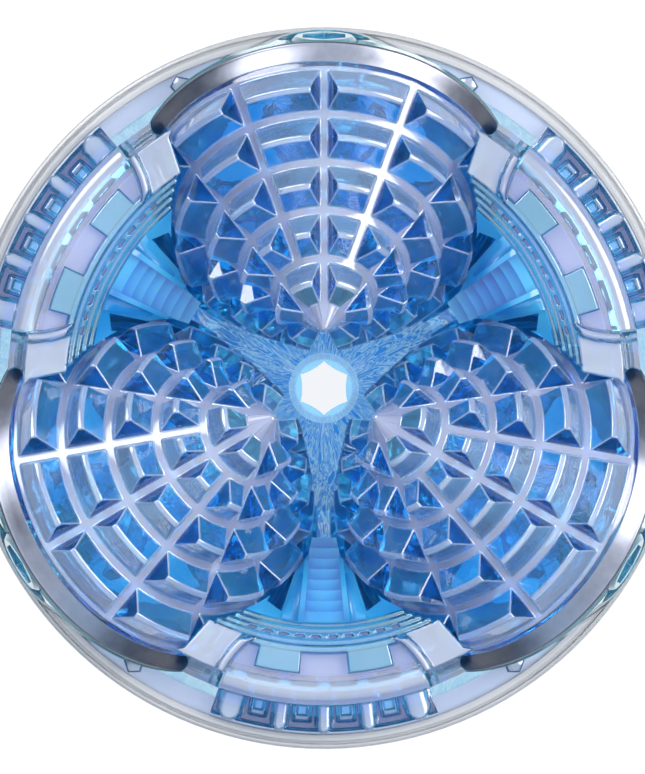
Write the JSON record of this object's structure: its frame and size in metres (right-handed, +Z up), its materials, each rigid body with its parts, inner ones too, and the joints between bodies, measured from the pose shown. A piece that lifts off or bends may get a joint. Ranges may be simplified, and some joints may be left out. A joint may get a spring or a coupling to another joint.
{
  "type": "maze ball puzzle",
  "caption": "Clear ball-shaped puzzle: an open bowl holds toothed cone rollers that turn on sloping axles between stepped maze sectors, with a steel ball in a hidden race.",
  "frame": {"origin": "middle of the foot ring's underside, on the table", "axes": "+Z up out of the open face, +Y towards the first cone roller, +X to its right"},
  "size_m": [0.12, 0.12, 0.0785],
  "materials": {
    "clear_blue": "polished clear blue",
    "clear_ice": "polished clear, faint lavender",
    "clear_rim": "polished clear",
    "cone_blue": "polished clear blue",
    "chrome": "mirror",
    "steel": "ground"
  },
  "bodies": {
    "ball_frame": {"bowl": "clear_blue", "foot_ring": "clear_blue", "rim_frame": "clear_blue", "clear_rim": "clear_rim", "deck_1": "clear_ice", "deck_2": "clear_ice", "deck_3": "clear_ice", "lane_1": "clear_ice", "lane_2": "clear_ice", "lane_3": "clear_ice", "funnel_1": "clear_blue", "funnel_2": "clear_blue", "funnel_3": "clear_blue", "ramp_1": "clear_blue", "ramp_2": "clear_blue", "ramp_3": "clear_blue", "axle_1": "clear_rim", "axle_2": "clear_rim", "axle_3": "clear_rim", "yoke_1": "clear_blue", "yoke_2": "clear_blue", "yoke_3": "clear_blue", "cone_shroud_1": "clear_ice", "cone_shroud_2": "clear_ice", "cone_shroud_3": "clear_ice", "hex_plugs": "clear_ice", "axle_screws": "steel", "race_tray": "clear_blue", "race_lid": "clear_blue", "base_screws": "steel", "centre_tube": "clear_blue", "petal_ring": "clear_ice"},
    "cone_roller_1": {"toothed_cone_1": "cone_blue", "cone_band_1": "chrome", "cone_bush_1": "clear_rim", "cone_retainer_1": "clear_blue"},
    "cone_roller_2": {"toothed_cone_2": "cone_blue", "cone_band_2": "chrome", "cone_bush_2": "clear_rim", "cone_retainer_2": "clear_blue"},
    "cone_roller_3": {"toothed_cone_3": "cone_blue", "cone_band_3": "chrome", "cone_bush_3": "clear_rim", "cone_retainer_3": "clear_blue"},
    "loose_ball": {"steel_ball": "steel"}
  },
  "joints": [
    {"name": "cone_1_spin", "type": "hinge", "parent": "ball_frame", "child": "cone_roller_1", "pos_m": [0, 0.009, 0.075], "axis": [0, 0.7218, -0.6921], "continuous": true},
    {"name": "cone_2_spin", "type": "hinge", "parent": "ball_frame", "child": "cone_roller_2", "pos_m": [0.00779, -0.0045, 0.075], "axis": [0.6251, -0.3609, -0.6921], "continuous": true},
    {"name": "cone_3_spin", "type": "hinge", "parent": "ball_frame", "child": "cone_roller_3", "pos_m": [-0.00779, -0.0045, 0.075], "axis": [-0.6251, -0.3609, -0.6921], "continuous": true},
    {"name": "ball_roll", "type": "hinge", "parent": "ball_frame", "child": "loose_ball", "pos_m": [0, 0, 0.014], "axis": [0, 0, 1], "continuous": true}
  ]
}
